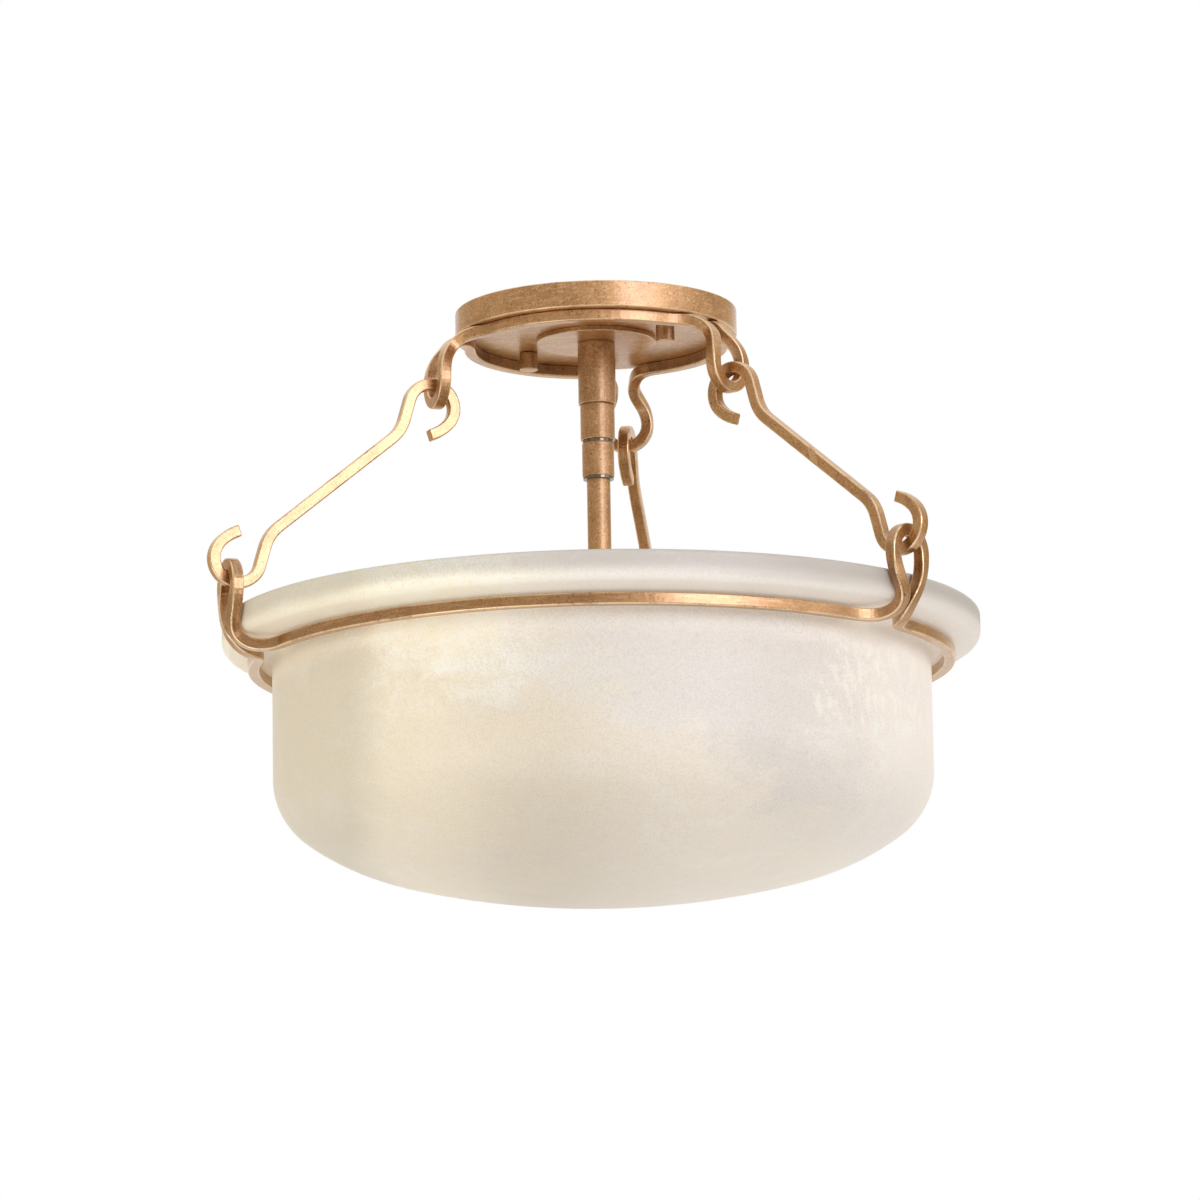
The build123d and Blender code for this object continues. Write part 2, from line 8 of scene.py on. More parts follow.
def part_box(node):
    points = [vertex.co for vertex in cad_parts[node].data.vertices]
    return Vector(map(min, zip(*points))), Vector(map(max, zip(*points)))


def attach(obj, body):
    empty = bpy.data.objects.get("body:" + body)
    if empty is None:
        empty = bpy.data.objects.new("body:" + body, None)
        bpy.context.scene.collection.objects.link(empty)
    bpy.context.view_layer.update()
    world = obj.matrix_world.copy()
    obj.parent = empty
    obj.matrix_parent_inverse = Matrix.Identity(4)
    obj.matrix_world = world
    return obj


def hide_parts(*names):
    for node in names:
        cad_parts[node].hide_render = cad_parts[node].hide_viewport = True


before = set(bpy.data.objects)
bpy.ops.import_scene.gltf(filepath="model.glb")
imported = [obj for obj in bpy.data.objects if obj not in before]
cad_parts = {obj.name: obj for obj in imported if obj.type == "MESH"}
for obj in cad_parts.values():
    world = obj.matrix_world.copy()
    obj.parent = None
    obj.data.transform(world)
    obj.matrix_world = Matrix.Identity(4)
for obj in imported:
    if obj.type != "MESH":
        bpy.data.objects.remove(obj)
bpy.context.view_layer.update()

mm = 0.001

# Canopy pan. A shallow pan of spun steel, flat against the ceiling, lacquered
# over an antique gold leaf finish, with a small rolled edge round its face.


class Maths:
    """A number in a material: a shader socket that adds Math nodes as it is used."""

    def __init__(self, paint, socket):
        self.paint = paint
        self.socket = socket

    def _with(self, operation, first, second):
        return self.paint.node("ShaderNodeMath", {"operation": operation}, {0: first, 1: second})

    def __add__(self, other):
        return self._with("ADD", self, other)

    def __mul__(self, other):
        return self._with("MULTIPLY", self, other)

    def __sub__(self, other):
        return self._with("SUBTRACT", self, other)

    def __rsub__(self, other):
        return self._with("SUBTRACT", other, self)

    def highest(self, other):
        return self._with("MAXIMUM", self, other)

    __radd__ = __add__
    __rmul__ = __mul__


class Paint:
    """One material and its nodes."""

    def __init__(self, name):
        self.material = bpy.data.materials.new(name)
        self.material.use_nodes = True
        self.tree = self.material.node_tree
        self.shader = self.tree.nodes["Principled BSDF"]
        self.coords = self.node("ShaderNodeTexCoord", {}, {}, "Object")

    def node(self, kind, settings, values, output=0):
        """Adds a node: its settings first, then a value or a link for each socket named."""
        made = self.tree.nodes.new(kind)
        for key, value in settings.items():
            setattr(made, key, value)
        for key, value in values.items():
            if isinstance(value, Maths):
                self.tree.links.new(value.socket, made.inputs[key])
            else:
                made.inputs[key].default_value = value
        return Maths(self, made.outputs[output])

    def noise(self, scale, detail=4.0, roughness=0.55, coords=None, warp=0.0):
        return self.node(
            "ShaderNodeTexNoise",
            {},
            {
                "Vector": coords or self.coords,
                "Scale": scale,
                "Detail": detail,
                "Roughness": roughness,
                "Distortion": warp,
            },
        )

    def stretched(self, scale, coords=None):
        return self.node("ShaderNodeMapping", {}, {"Vector": coords or self.coords, "Scale": scale})

    def between(self, value, low, high, to_low=0.0, to_high=1.0):
        return self.node(
            "ShaderNodeMapRange",
            {"interpolation_type": "SMOOTHSTEP"},
            {"Value": value, "From Min": low, "From Max": high, "To Min": to_low, "To Max": to_high},
        )

    def blend(self, factor, first, second):
        colours = [c if isinstance(c, Maths) else (*c, 1.0) for c in (first, second)]
        return self.node(
            "ShaderNodeMix", {"data_type": "RGBA"}, {0: factor, 6: colours[0], 7: colours[1]}, 2
        )

    def bump(self, height, depth, strength=1.0, under=None):
        values = {"Strength": strength, "Distance": depth, "Height": height}
        if under:
            values["Normal"] = under
        return self.node("ShaderNodeBump", {}, values)

    def set(self, **sockets):
        for name, value in sockets.items():
            socket = self.shader.inputs[name.replace("_", " ")]
            if isinstance(value, Maths):
                self.tree.links.new(value.socket, socket)
            elif socket.type == "RGBA":
                socket.default_value = (*value, 1.0)
            else:
                socket.default_value = value
        return self.material


leaf_thin = (0.440, 0.238, 0.104)
leaf_full = (0.560, 0.318, 0.148)
leaf_brushed = (0.760, 0.500, 0.275)
leaf_rubbed_highlight = (0.880, 0.640, 0.390)
ground_brown = (0.240, 0.112, 0.038)
pit_brown = (0.075, 0.034, 0.014)
darkening_brown = (0.200, 0.100, 0.038)
grime_and_shade_brown = (0.120, 0.058, 0.022)
lacquer_tint = (1.0, 0.80, 0.55)
bar = 6.2 * mm
bar_edge = 0.9 * mm
bar_brushing = (0.12, 1.0, 1.0)


def antique_gold(name, brushing, roughness, along_bar=False, darkening=0.0, grime_and_shade_radius=0.0):
    """Antique gold: gold leaf rubbed thin over a brown ground, under a satin lacquer.

    brushing squeezes the brush marks across their run. On bent bar they follow the bar. Edges
    are painted paler: rubbed wear, and a painted highlight along them. darkening darkens the
    leaf as a whole. Within the radius given round the stem's axis the leaf is darker: grime,
    and painted shade.
    """
    paint = Paint(name)
    coords = paint.coords
    if along_bar:
        coords = paint.node("ShaderNodeAttribute", {"attribute_name": "grain"}, {}, "Vector")
    marks = paint.noise(700.0, 3.0, 0.6, paint.stretched(brushing, coords))
    clouds = paint.noise(55.0, 6.0, 0.68, warp=0.5)
    sand = paint.noise(950.0, 3.0, 0.65)
    pits = paint.between(paint.noise(420.0, 2.0, 0.5), 0.30, 0.24)
    leaf = paint.blend(paint.between(clouds, 0.36, 0.66), leaf_thin, leaf_full)
    leaf = paint.blend(0.6 * paint.between(marks + 0.5 * sand, 0.72, 0.98), leaf, leaf_brushed)
    leaf = paint.blend(0.7 * paint.between(sand, 0.47, 0.34), leaf, ground_brown)
    leaf = paint.blend(0.75 * pits, leaf, pit_brown)
    # The whole leaf is darkened toward brown by the share given.
    if darkening:
        leaf = paint.blend(darkening, leaf, darkening_brown)
    if grime_and_shade_radius:
        # Painted shade and grime: the ring's inner face, next to the stem's axis, is darkened.
        level = {0: paint.coords, 1: (1.0, 1.0, 0.0)}
        reach = paint.node("ShaderNodeVectorMath", {"operation": "MULTIPLY"}, level)
        reach = paint.node("ShaderNodeVectorMath", {"operation": "LENGTH"}, {0: reach}, "Value")
        grime_and_shade = paint.between(reach, grime_and_shade_radius + 0.9 * mm, grime_and_shade_radius + 0.2 * mm)
        grime_and_shade = grime_and_shade * paint.between(clouds + 0.6 * sand, 0.50, 0.85, 1.0, 0.45)
        leaf = paint.blend(0.85 * grime_and_shade, leaf, grime_and_shade_brown)
    if along_bar:
        corner = paint.node("ShaderNodeVectorMath", {"operation": "ABSOLUTE"}, {0: coords})
        across = paint.node("ShaderNodeSeparateXYZ", {}, {0: corner}, "Y")
        across = across + paint.node("ShaderNodeSeparateXYZ", {}, {0: corner}, "Z")
        edge = paint.between(across, bar - 0.95 * mm, bar - 0.62 * mm)
    else:
        edge = paint.node("ShaderNodeAttribute", {"attribute_name": "rubbed_highlight"}, {}, "Fac")
    # Edges are painted paler: rubbed wear, and a painted highlight along them.
    rubbed_highlight = edge * paint.between(clouds + 0.4 * sand, 0.45, 0.75)
    leaf = paint.blend(0.8 * rubbed_highlight, leaf, leaf_rubbed_highlight)
    rough = roughness + 0.22 * sand + 0.12 * marks - 0.17
    normal = paint.bump(marks + sand, 0.00005, 0.45)
    normal = paint.bump(clouds, 0.0006, 0.22, normal)
    return paint.set(
        Base_Color=leaf,
        Metallic=1.0,
        Roughness=rough,
        Normal=normal,
        Coat_Weight=0.9,
        Coat_Roughness=0.24,
        Specular_Tint=lacquer_tint,
    )


worn_highlight_radius = 1.5 * mm
weld_gap = 0.0001 * mm
crease = radians(35)


class Profile:
    """A half section drawn with one point, for a piece turned about the stem's axis.

    An attribute marks its edges rounded below the worn radius: there handling wears a finish, and a highlight
    is painted along them.
    """

    def __init__(self, radius, z):
        self.mesh = bmesh.new()
        self.rubbed_highlight = self.mesh.verts.layers.float.new("rubbed_highlight")
        self.tip = self.mesh.verts.new((radius, 0.0, z))

    def line(self, radius, z):
        made = bmesh.ops.extrude_vert_indiv(self.mesh, verts=[self.tip])
        self.tip = made["verts"][0]
        self.tip.co = (radius, 0.0, z)
        return self

    def arc(self, radius, z, turn, steps=6):
        """An arc about the centre (radius, z). A positive turn goes from +Z towards +X."""
        drawn = len(self.mesh.verts)
        small = (self.tip.co - Vector((radius, 0.0, z))).length < worn_highlight_radius
        about = {"cent": (radius, 0.0, z), "axis": (0.0, 1.0, 0.0)}
        made = bmesh.ops.spin(self.mesh, geom=[self.tip], angle=turn, steps=steps, **about)
        self.tip = made["geom_last"][0]
        for vert in self.mesh.verts[drawn:] if small else ():
            vert[self.rubbed_highlight] = 0.0 if vert == self.tip else 1.0
        return self

    def turned(self, steps=160):
        """The closed solid of revolution, its poles and seams welded and its faces pointing out."""
        bmesh.ops.remove_doubles(self.mesh, verts=self.mesh.verts, dist=weld_gap)
        bmesh.ops.spin(
            self.mesh,
            geom=self.mesh.verts[:] + self.mesh.edges[:],
            cent=(0, 0, 0),
            axis=(0, 0, 1),
            angle=2 * pi,
            steps=steps,
            use_merge=True,
        )
        bmesh.ops.remove_doubles(self.mesh, verts=self.mesh.verts, dist=weld_gap)
        bmesh.ops.recalc_face_normals(self.mesh, faces=self.mesh.faces)
        return self.mesh


def finished(mesh, name, material, body, slot, *nodes):
    """Makes an object of the mesh and puts it in place of the CAD nodes that it stands for."""
    data = bpy.data.meshes.new(name)
    mesh.to_mesh(data)
    mesh.free()
    data.materials.append(material)
    data.shade_smooth()
    data.set_sharp_from_angle(angle=crease)
    piece = bpy.data.objects.new(name, data)
    bpy.context.scene.collection.objects.link(piece)
    flats = piece.modifiers.new("flats", "WEIGHTED_NORMAL")
    flats.keep_sharp = True
    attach(piece, body)
    if nodes:
        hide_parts(*nodes)
    return piece


pan_low, pan_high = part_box("canopy_pan")
pan_radius = pan_high.x
pan_face = pan_low.z
pan_wall = 1.2 * mm
pan_inner_corner = 1.0 * mm
pan_outer_corner = 1.1 * mm
pan_gold = antique_gold("antique_gold_sheet", (0.3, 0.3, 1.0), 0.46)

pan = Profile(0.0, pan_face + pan_wall)
pan.line(pan_radius - pan_wall - pan_inner_corner, pan_face + pan_wall)
pan.arc(pan_radius - pan_wall - pan_inner_corner, pan_face + pan_wall + pan_inner_corner, -pi / 2)
pan.line(pan_radius - pan_wall, -pan_wall / 2)
pan.arc(pan_radius - pan_wall / 2, -pan_wall / 2, pi, 8)
pan.line(pan_radius, pan_face + pan_outer_corner)
pan.arc(pan_radius - pan_outer_corner, pan_face + pan_outer_corner, pi / 2, 8)
pan.line(0.0, pan_face)
finished(pan.turned(), "canopy_pan_spun", pan_gold, "ceiling_mount", "gilt_sheet", "canopy_pan")

# Mounting hardware in the canopy, and the lamp cluster at the stem's foot, in the
# CAD's own shapes. Zinc-plated steel, but for a green ground screw and a nylon
# bushing.


def dressed(material, slot, *nodes):
    """Gives CAD nodes their finish, and leaves their shape alone."""
    for node in nodes:
        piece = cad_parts[node]
        piece.data.materials.clear()
        piece.data.materials.append(material)


zinc = Paint("zinc_plate")
zinc_clouds = zinc.noise(160.0, 5.0, 0.6)
zinc_plate = zinc.set(
    Base_Color=zinc.blend(zinc_clouds, (0.40, 0.41, 0.42), (0.58, 0.58, 0.56)),
    Metallic=1.0,
    Roughness=0.30 + 0.18 * zinc_clouds,
    Normal=zinc.bump(zinc_clouds, 0.0002, 0.4),
)
dressed(
    zinc_plate,
    "zinc_steel",
    "box_strap",
    "fixture_strap",
    "canopy_studs",
    "stud_locknuts",
    "stem_nipple",
    "stem_lock_washer",
    "stem_locknut",
    "cluster_body",
    "cluster_locknut",
    "cluster_cover",
    "socket_nipples",
)

green = Paint("green_ground_screw")
green_screw = green.set(
    Base_Color=green.blend(green.noise(500.0), (0.012, 0.13, 0.03), (0.03, 0.22, 0.06)),
    Metallic=0.8,
    Roughness=0.35,
)
dressed(green_screw, "green_screw", "ground_screw")

nylon = Paint("white_nylon")
white_nylon = nylon.set(
    Base_Color=nylon.blend(nylon.noise(300.0), (0.66, 0.65, 0.60), (0.72, 0.71, 0.67)), Roughness=0.55
)
dressed(white_nylon, "white_nylon", "wire_bushing")

# Hanger ring. One bar of square steel bent cold round a former, pulled out into
# three loops that hang past the rim, and welded to the canopy's face.

first_arm = -40
arm_spacing = 120
loop_half_width = 12.0 * mm
neck_slope = radians(48)
neck_closing = radians(12)
ring_ease = 0.45
neck_ease = 0.34
round_ease = 0.5
face_hold = 0.5
bar_step = 6 * mm
bend_step = 5 * mm
bend_step_turn = radians(7.5)
flow_steps = 14


class Bar:
    """A square bar with rounded edges, bent as it is fed.

    Its end face is run straight, turned about a bend or led along a free bend. The attribute
    grain holds the length fed and the place across the section.
    """

    def __init__(self, start, forward, side):
        self.mesh = bmesh.new()
        self.grain = self.mesh.verts.layers.float_vector.new("grain")
        self.at = Vector(start)
        self.forward = Vector(forward)
        self.length = 0.0
        side = Vector(side)
        up = self.forward.cross(side)
        facing = Matrix((side, up, self.forward)).transposed().to_4x4()
        place = Matrix.Translation(self.at) @ facing
        square = bmesh.ops.create_grid(self.mesh, x_segments=1, y_segments=1, size=bar / 2, matrix=place)
        bmesh.ops.bevel(
            self.mesh,
            geom=square["verts"],
            offset=bar_edge,
            offset_type="OFFSET",
            affect="VERTICES",
            segments=4,
            profile=0.5,
            material=-1,
        )
        self.start = self.end = next(iter(self.mesh.faces))
        for vert in self.mesh.verts:
            across = vert.co - self.at
            vert[self.grain] = (0.0, across.dot(side), across.dot(up))

    def _feed(self, length, move):
        made = bmesh.ops.extrude_face_region(self.mesh, geom=[self.end])["geom"]
        self.end = next(f for f in made if isinstance(f, bmesh.types.BMFace))
        move(list(self.end.verts))
        self.length += length
        for vert in self.end.verts:
            vert[self.grain].x = self.length

    def run(self, length):
        """Straight on."""
        steps = max(1, round(length / bar_step))
        step = self.forward * length / steps
        for _ in range(steps):
            self._feed(length / steps, lambda verts: bmesh.ops.translate(self.mesh, verts=verts, vec=step))
        self.at += self.forward * length
        return self

    def bend(self, radius, turn, toward):
        """A bend of this centreline radius, toward the side of the bar that faces that way."""
        toward = Vector(toward)
        centre = self.at + toward * radius
        axis = self.forward.cross(toward)
        steps = max(2, round(turn / bend_step_turn), round(turn * radius / bend_step))
        step = Matrix.Rotation(turn / steps, 3, axis)
        for _ in range(steps):
            self._feed(
                turn * radius / steps,
                lambda verts: bmesh.ops.rotate(self.mesh, verts=verts, cent=centre, matrix=step),
            )
        whole = Matrix.Rotation(turn, 3, axis)
        self.at = centre + whole @ (self.at - centre)
        self.forward = whole @ self.forward
        return self

    def flow(self, end, end_way, start_ease, end_ease):
        """A free bend to the point end, where the bar heads end_way."""
        reach = (end - self.at).length
        corners = (
            self.at,
            self.at + self.forward * reach * start_ease,
            end - end_way * reach * end_ease,
            end,
        )
        facing = self._facing(self.forward)
        for step in range(1, flow_steps + 1):
            place = step / flow_steps
            rest = 1 - place
            shares = (rest**3, 3 * rest**2 * place, 3 * rest * place**2, place**3)
            at = sum((share * corner for share, corner in zip(shares, corners)), Vector())
            pulls = (rest**2, 2 * rest * place, place**2)
            sides = [after - before for before, after in zip(corners, corners[1:])]
            way = sum((pull * side for pull, side in zip(pulls, sides)), Vector()).normalized()
            turned = self._facing(way)
            move = Matrix.Translation(at) @ turned @ facing.inverted() @ Matrix.Translation(-self.at)
            self._feed(
                (at - self.at).length,
                lambda verts: bmesh.ops.transform(self.mesh, verts=verts, matrix=move),
            )
            self.at, facing = at, turned
        self.forward = end_way
        return self

    def _facing(self, way):
        """How the section lies where the bar heads that way: its upper face becomes the outer one."""
        face = Vector((-way.z, 0.0, abs(way.x) + face_hold))
        across = way.cross(face).normalized()
        return Matrix((across, way.cross(across), way)).transposed().to_4x4()

    def open_ends(self, *faces):
        bmesh.ops.delete(self.mesh, geom=[f for f in faces if f.is_valid], context="FACES_ONLY")
        return self


def welded(mesh):
    """Joins the open ends that meet, and leaves strands that only touch as they are."""
    ends = [v for v in mesh.verts if v.is_boundary]
    bmesh.ops.remove_doubles(mesh, verts=ends, dist=0.02 * mm)
    return mesh


def copied(mesh, *changes):
    """Adds a copy of the mesh to itself for each matrix; a mirrored copy is turned outside out."""
    first = mesh.verts[:] + mesh.edges[:] + mesh.faces[:]
    for change in changes:
        made = bmesh.ops.duplicate(mesh, geom=first)["geom"]
        bmesh.ops.transform(mesh, matrix=change, verts=[g for g in made if isinstance(g, bmesh.types.BMVert)])
        if change.determinant() < 0:
            bmesh.ops.reverse_faces(mesh, faces=[g for g in made if isinstance(g, bmesh.types.BMFace)])
    return mesh


def about_stem(degrees):
    return Matrix.Rotation(radians(degrees), 4, "Z")


def looped_ring(ring_radius, ring_z, join_angle, neck, loop_radius, loop_centre_z):
    """A ring with three loops, bent from the middle of a span to the crown of a loop, then repeated."""
    up = 1 if loop_centre_z > ring_z else -1
    span_end = radians(arm_spacing / 2)
    half = Bar(
        (ring_radius * cos(span_end), ring_radius * sin(span_end), ring_z),
        (sin(span_end), -cos(span_end), 0),
        (0, 0, 1),
    )
    half.bend(ring_radius, span_end - join_angle, Vector((-cos(span_end), -sin(span_end), 0)))
    neck_way = Vector(
        (cos(neck_slope) * cos(neck_closing), -sin(neck_closing), up * sin(neck_slope) * cos(neck_closing))
    )
    half.flow(neck, neck_way, ring_ease, neck_ease)
    loop_side = Vector((loop_radius, loop_half_width, loop_centre_z))
    half.flow(loop_side, Vector((0, 0, up)), neck_ease, round_ease)
    half.bend(loop_half_width, pi / 2, (0, -1, 0))
    ring = half.open_ends(half.start, half.end).mesh
    copied(ring, Matrix.Scale(-1, 4, (0, 1, 0)))
    copied(ring, about_stem(arm_spacing), about_stem(2 * arm_spacing))
    bmesh.ops.transform(ring, matrix=about_stem(first_arm), verts=ring.verts)
    return welded(ring)


hanger_radius = 68.4 * mm
hanger_z = pan_face - bar / 2
hanger_join = radians(19)
hanger_neck = Vector((82.3 * mm, 6.3 * mm, hanger_z - 5.5 * mm))
hanger_loop_radius = 91.0 * mm
hanger_loop_z = -43.3 * mm
hanger_gold = antique_gold(
    "antique_gold_hanger", bar_brushing, 0.44, along_bar=True, grime_and_shade_radius=hanger_radius - bar / 2
)
hanger = looped_ring(hanger_radius, hanger_z, hanger_join, hanger_neck, hanger_loop_radius, hanger_loop_z)
finished(hanger, "hanger_ring_bent", hanger_gold, "ceiling_mount", "gilt_bar", "hanger_ring")

# Disc plate. A turned steel disc clamped between the canopy's face and the stem,
# in the same gold as the pan.

disc_low, disc_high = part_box("canopy_disc")
disc_radius = disc_high.x
disc_bevel = 0.5 * mm
broken_edge = 0.2 * mm
disc = Profile(0.0, disc_high.z)
disc.line(disc_radius - broken_edge, disc_high.z)
disc.line(disc_radius, disc_high.z - broken_edge)
disc.line(disc_radius, disc_low.z + disc_bevel)
disc.arc(disc_radius - disc_bevel, disc_low.z + disc_bevel, pi / 2, 4)
disc.line(0.0, disc_low.z)
finished(disc.turned(), "canopy_disc_turned", pan_gold, "ceiling_mount", "gilt_sheet", "canopy_disc")

# Canopy nuts. Two plain turned nuts, closed below, run up the studs by hand
# against the canopy.

stem_gold = antique_gold("antique_gold_stem", (1.0, 1.0, 0.8), 0.50, darkening=0.05)
nut_edge = 0.6 * mm
for nut_number in (1, 2):
    nut_node = f"canopy_nut_{nut_number}"
    nut_low, nut_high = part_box(nut_node)
    nut_radius = (nut_high.x - nut_low.x) / 2
    nut = Profile(0.0, nut_high.z)
    nut.line(nut_radius - broken_edge, nut_high.z)
    nut.line(nut_radius, nut_high.z - broken_edge)
    nut.line(nut_radius, nut_low.z + nut_edge)
    nut.arc(nut_radius - nut_edge, nut_low.z + nut_edge, pi / 2, 4)
    nut.line(0.0, nut_low.z)
    nut_mesh = nut.turned(48)
    nut_centre = (nut_low + nut_high) / 2
    bmesh.ops.translate(nut_mesh, verts=nut_mesh.verts, vec=(nut_centre.x, nut_centre.y, 0.0))
    finished(nut_mesh, f"{nut_node}_turned", stem_gold, f"nut_{nut_number}", "gilt_stem", nut_node)

# Stem. A steel tube down the middle, with three turned collars of falling width
# slipped over its upper part, each necked at its top, and a bright washer above
# and below the lowest.

tube_low, tube_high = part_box("stem_tube")
tube_radius = tube_high.x
tube = Profile(0.0, tube_high.z)
tube.line(tube_radius, tube_high.z)
tube.line(tube_radius, tube_low.z)
tube.line(0.0, tube_low.z)
finished(tube.turned(64), "stem_tube_drawn", stem_gold, "ceiling_mount", "gilt_stem", "stem_tube")

collar_edge = 0.5 * mm
neck_depth = 0.9 * mm
neck_height = 0.45 * mm
for collar_name in ("stem_collar_upper", "stem_collar_middle", "stem_collar_lower"):
    collar_low, collar_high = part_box(collar_name)
    collar_radius = collar_high.x
    shoulder_z = collar_high.z - neck_height
    collar = Profile(0.0, collar_high.z)
    collar.line(collar_radius - neck_depth, collar_high.z)
    collar.line(collar_radius - neck_depth, shoulder_z)
    collar.line(collar_radius - collar_edge, shoulder_z)
    collar.arc(collar_radius - collar_edge, shoulder_z - collar_edge, pi / 2, 3)
    collar.line(collar_radius, collar_low.z + collar_edge)
    collar.arc(collar_radius - collar_edge, collar_low.z + collar_edge, pi / 2, 3)
    collar.line(0.0, collar_low.z)
    finished(collar.turned(96), f"{collar_name}_turned", stem_gold, "ceiling_mount", "gilt_stem", collar_name)

# The washers' nickel is painted dark, as painted shade of their place between the collars, so that they only
# glint.
nickel = Paint("bright_nickel")
nickel_grain = nickel.noise(700.0, 3.0, 0.6, nickel.stretched((1.0, 1.0, 0.1)))
bright_nickel = nickel.set(
    Base_Color=nickel.blend(nickel_grain, (0.100, 0.078, 0.056), (0.260, 0.230, 0.190)),
    Metallic=1.0,
    Roughness=0.16,
)
dressed(bright_nickel, "bright_nickel", "stem_washers")

# Arms. Three of the same square bar, each bent to an S with a hook at both ends,
# hooked over the hanger ring's loops at the top and under the bowl ring's below.

hook_radius = 12.7 * mm
hook_turn = radians(209)
shoulder_radius = 22.0 * mm
shoulder_turn = radians(35)
curl_radius = 25.0 * mm
curl_turn = radians(27.5)
upper_hook = Vector((94.7, 0.0, -58.3)) * mm
lower_hook = Vector((203.3, 0.0, -146.2)) * mm
tip_edge = 0.6 * mm

arm_middle = (upper_hook + lower_hook) / 2
up_the_arm = (upper_hook - lower_hook).normalized()
leg = (hook_radius * cos(shoulder_turn) - shoulder_radius * (1 - cos(shoulder_turn))) / sin(shoulder_turn)
hook_reach = (hook_radius + shoulder_radius) * sin(shoulder_turn) + leg * cos(shoulder_turn)
arm = Bar(arm_middle, up_the_arm, (0, 1, 0))
arm.run((upper_hook - lower_hook).length / 2 - hook_reach)
arm.bend(shoulder_radius, shoulder_turn, arm.forward.cross((0, -1, 0)))
arm.run(leg)
arm.bend(hook_radius, hook_turn, arm.forward.cross((0, 1, 0)))
arm.bend(curl_radius, curl_turn, arm.forward.cross((0, 1, 0)))
arm.open_ends(arm.start)
half_turn = Matrix.Translation(arm_middle) @ Matrix.Rotation(pi, 4, "Y") @ Matrix.Translation(-arm_middle)
welded(copied(arm.mesh, half_turn))
tips = [
    edge
    for edge in arm.mesh.edges
    if len(edge.link_faces) == 2 and max(len(face.verts) for face in edge.link_faces) > 4
]
bmesh.ops.bevel(
    arm.mesh,
    geom=tips,
    offset=tip_edge,
    offset_type="OFFSET",
    affect="EDGES",
    segments=3,
    profile=0.5,
    material=-1,
)
bar_gold = antique_gold("antique_gold_bar", bar_brushing, 0.33, along_bar=True)
for arm_number in (1, 2, 3):
    arm_node = f"arm_{arm_number}"
    one_arm = arm.mesh.copy()
    turned = about_stem(first_arm + arm_spacing * (arm_number - 1))
    bmesh.ops.transform(one_arm, matrix=turned, verts=one_arm.verts)
    finished(one_arm, f"{arm_node}_bent", bar_gold, arm_node, "gilt_bar", arm_node)
arm.mesh.free()

# Bowl ring. The same bar bent to a larger ring, its three loops turned up outside
# the bowl's rim to hang on the arms.

bowl_ring_radius = 186.4 * mm
bowl_ring_z = -193.1 * mm
bowl_ring_join = radians(8)
bowl_neck = Vector((203.4 * mm, 3.9 * mm, bowl_ring_z + 4.5 * mm))
bowl_loop_radius = 207.0 * mm
bowl_loop_z = -161.2 * mm
# The bowl ring's gold is the bar's, darkened as a whole.
ring_gold = antique_gold("antique_gold_ring", bar_brushing, 0.33, along_bar=True, darkening=0.30)
bowl_ring = looped_ring(
    bowl_ring_radius, bowl_ring_z, bowl_ring_join, bowl_neck, bowl_loop_radius, bowl_loop_z
)
finished(bowl_ring, "bowl_ring_bent", ring_gold, "ring", "gilt_bar", "bowl_ring")

# Bowl. Alabaster turned from the block to one wall thickness, with an upright lip
# and a flange that rests in the bowl ring, and ground to a fine matt surface.

bowl_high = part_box("bowl")[1]
bowl_wall = 5.0 * mm
rim_radius = bowl_high.x
rim_centre_z = bowl_high.z - bowl_wall / 2
body_radius = 176.45 * mm
body_end_z = -254.6 * mm
flange_slope = radians(14)
flange_turn = pi / 2 - flange_slope
corner_radius = 6.0 * mm
cove_radius = 5.0 * mm
heel_radius = 38.1 * mm
heel_turn = radians(54.06)
dish_radius = 130.6 * mm
dish_turn = radians(21.33)

seat_gap = bar_edge + 0.3 * mm
seat_r = bowl_ring_radius - bar / 2 + bar_edge - sin(flange_slope) * seat_gap
seat_z = bowl_ring_z + bar / 2 - bar_edge + cos(flange_slope) * seat_gap
flange_rise = sin(flange_slope) / cos(flange_slope)
tangent = sin(flange_turn / 2) / cos(flange_turn / 2)
corner_z = seat_z + (rim_radius - seat_r) * flange_rise + corner_radius * tangent
cove_z = seat_z - (seat_r - body_radius) * flange_rise - cove_radius * tangent
heel_r = body_radius - heel_radius
dish_r = heel_r + cos(heel_turn) * (heel_radius - dish_radius)
dish_z = body_end_z - sin(heel_turn) * (heel_radius - dish_radius)
base_turn = pi / 2 - heel_turn - dish_turn
base_radius = dish_radius + dish_r / sin(base_turn)
base_z = dish_z - cos(base_turn) * (dish_radius - base_radius)
corner_r = rim_radius - corner_radius
cove_r = body_radius + cove_radius
inner_cove = cove_radius + bowl_wall

bowl = Profile(0.0, base_z - base_radius)
bowl.arc(0.0, base_z, -base_turn, 12)
bowl.arc(dish_r, dish_z, -dish_turn, 12)
bowl.arc(heel_r, body_end_z, -heel_turn, 16)
bowl.line(body_radius, cove_z)
bowl.arc(cove_r, cove_z, flange_turn, 10)
bowl.line(corner_r + sin(flange_slope) * corner_radius, corner_z - cos(flange_slope) * corner_radius)
bowl.arc(corner_r, corner_z, -flange_turn, 10)
bowl.line(rim_radius, rim_centre_z)
bowl.arc(rim_radius - bowl_wall / 2, rim_centre_z, -pi, 12)
bowl.line(rim_radius - bowl_wall, corner_z)
bowl.arc(corner_r, corner_z, flange_turn, 10)
bowl.line(cove_r - sin(flange_slope) * inner_cove, cove_z + cos(flange_slope) * inner_cove)
bowl.arc(cove_r, cove_z, -flange_turn, 10)
bowl.line(body_radius - bowl_wall, body_end_z)
bowl.arc(heel_r, body_end_z, heel_turn, 16)
bowl.arc(dish_r, dish_z, dish_turn, 12)
bowl.arc(0.0, base_z, base_turn, 12)

